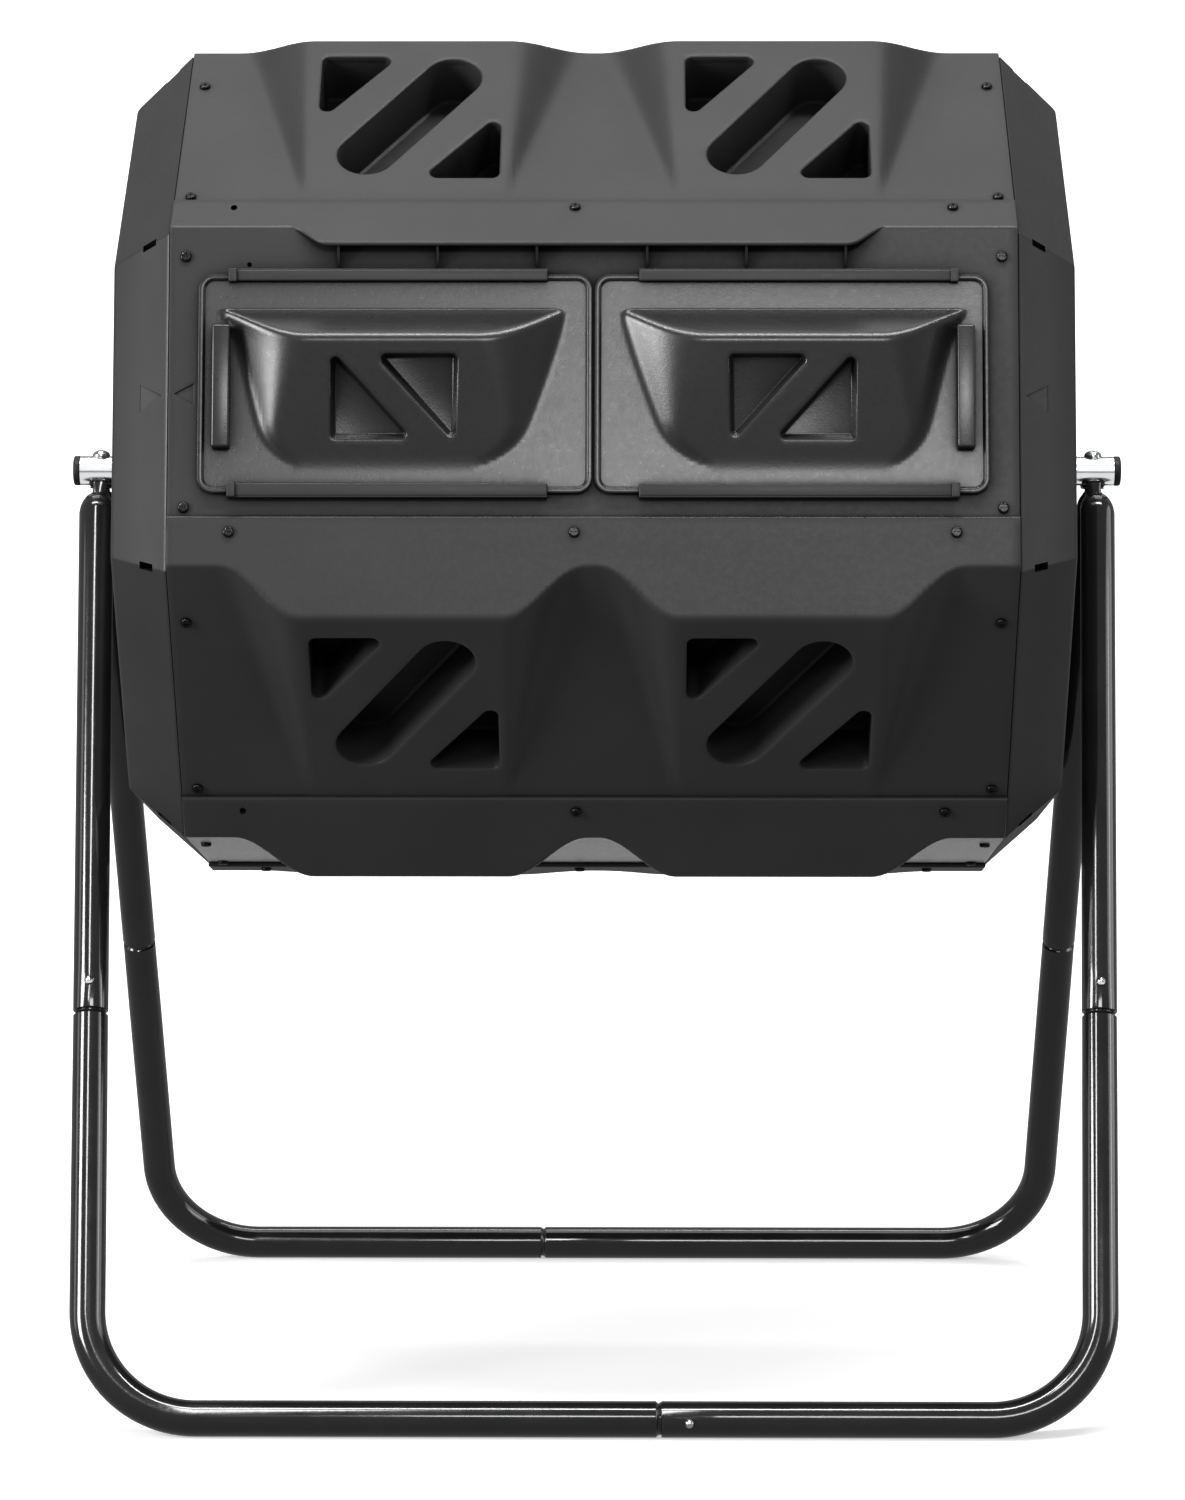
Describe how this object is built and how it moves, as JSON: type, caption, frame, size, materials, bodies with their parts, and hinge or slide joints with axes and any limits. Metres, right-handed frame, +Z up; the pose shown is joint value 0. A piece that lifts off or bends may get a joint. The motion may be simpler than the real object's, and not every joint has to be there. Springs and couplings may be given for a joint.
{
  "type": "compost tumbler",
  "caption": "Eight-sided two-chamber compost drum with sliding doors, turning on an axle held by a folding-tube A-shaped stand with snap buttons.",
  "frame": {"origin": "on the floor, under the middle of the axle", "axes": "+Z up, the axle along X, the loading doors face -Y, +X is to the right of someone facing the doors"},
  "size_m": [0.718, 0.5814, 0.8984],
  "materials": {
    "tube_paint": "gloss black powder coat",
    "button_steel": "bright nickel",
    "spring_steel": "spring steel",
    "axle_zinc": "bright galvanised",
    "bolt_zinc": "bright zinc",
    "plug_plastic": "satin black",
    "end_plastic": "fine moulded grain, charcoal",
    "panel_plastic": "fine moulded grain, charcoal",
    "door_plastic": "fine moulded grain, charcoal",
    "screw_black": "black oxide",
    "nut_steel": "zinc"
  },
  "bodies": {
    "stand": {"upper_leg_front_left": "tube_paint", "upper_leg_front_right": "tube_paint", "upper_leg_rear_left": "tube_paint", "upper_leg_rear_right": "tube_paint", "lower_leg_front_left": "tube_paint", "lower_leg_front_right": "tube_paint", "lower_leg_rear_left": "tube_paint", "lower_leg_rear_right": "tube_paint", "snap_button_springs": "spring_steel", "axle_tube": "axle_zinc", "axle_cap_left": "plug_plastic", "axle_cap_right": "plug_plastic", "axle_bolts": "bolt_zinc", "axle_nuts": "bolt_zinc"},
    "drum": {"end_cap_left": "end_plastic", "end_cap_right": "end_plastic", "divider_panel": "end_plastic", "door_panel": "panel_plastic", "wall_panel_1": "panel_plastic", "wall_panel_2": "panel_plastic", "wall_panel_3": "panel_plastic", "wall_panel_4": "panel_plastic", "wall_panel_5": "panel_plastic", "wall_panel_6": "panel_plastic", "wall_panel_7": "panel_plastic", "panel_screws": "screw_black", "panel_nuts": "nut_steel"},
    "left_door": {"door_left": "door_plastic"},
    "right_door": {"door_right": "door_plastic"},
    "button_leg_front_left": {"snap_button_leg_front_left": "button_steel"},
    "button_leg_front_right": {"snap_button_leg_front_right": "button_steel"},
    "button_leg_rear_left": {"snap_button_leg_rear_left": "button_steel"},
    "button_leg_rear_right": {"snap_button_leg_rear_right": "button_steel"},
    "button_bar_front": {"snap_button_bar_front": "button_steel"},
    "button_bar_rear": {"snap_button_bar_rear": "button_steel"}
  },
  "joints": [
    {"name": "drum_turn", "type": "hinge", "parent": "stand", "child": "drum", "pos_m": [0, 0, 0.608], "axis": [1, 0, 0], "continuous": true},
    {"name": "door_left_slide", "type": "slide", "parent": "drum", "child": "left_door", "axis": [-1, 0, 0], "range_m": [0, 0.17]},
    {"name": "door_right_slide", "type": "slide", "parent": "drum", "child": "right_door", "axis": [1, 0, 0], "range_m": [0, 0.17]},
    {"name": "press_leg_front_left", "type": "slide", "parent": "stand", "child": "button_leg_front_left", "axis": [0.0112, 0.9088, -0.417], "range_m": [0, 0.0046], "stiffness_N_per_m": 600, "springref_m": -0.002},
    {"name": "press_leg_front_right", "type": "slide", "parent": "stand", "child": "button_leg_front_right", "axis": [-0.0112, 0.9088, -0.417], "range_m": [0, 0.0046], "stiffness_N_per_m": 600, "springref_m": -0.002},
    {"name": "press_bar_front", "type": "slide", "parent": "stand", "child": "button_bar_front", "axis": [0, 1, 0], "range_m": [0, 0.0046], "stiffness_N_per_m": 600, "springref_m": -0.002},
    {"name": "press_leg_rear_left", "type": "slide", "parent": "stand", "child": "button_leg_rear_left", "axis": [0.0112, -0.9088, -0.417], "range_m": [0, 0.0046], "stiffness_N_per_m": 600, "springref_m": -0.002},
    {"name": "press_leg_rear_right", "type": "slide", "parent": "stand", "child": "button_leg_rear_right", "axis": [-0.0112, -0.9088, -0.417], "range_m": [0, 0.0046], "stiffness_N_per_m": 600, "springref_m": -0.002},
    {"name": "press_bar_rear", "type": "slide", "parent": "stand", "child": "button_bar_rear", "axis": [0, -1, 0], "range_m": [0, 0.0046], "stiffness_N_per_m": 600, "springref_m": -0.002}
  ]
}
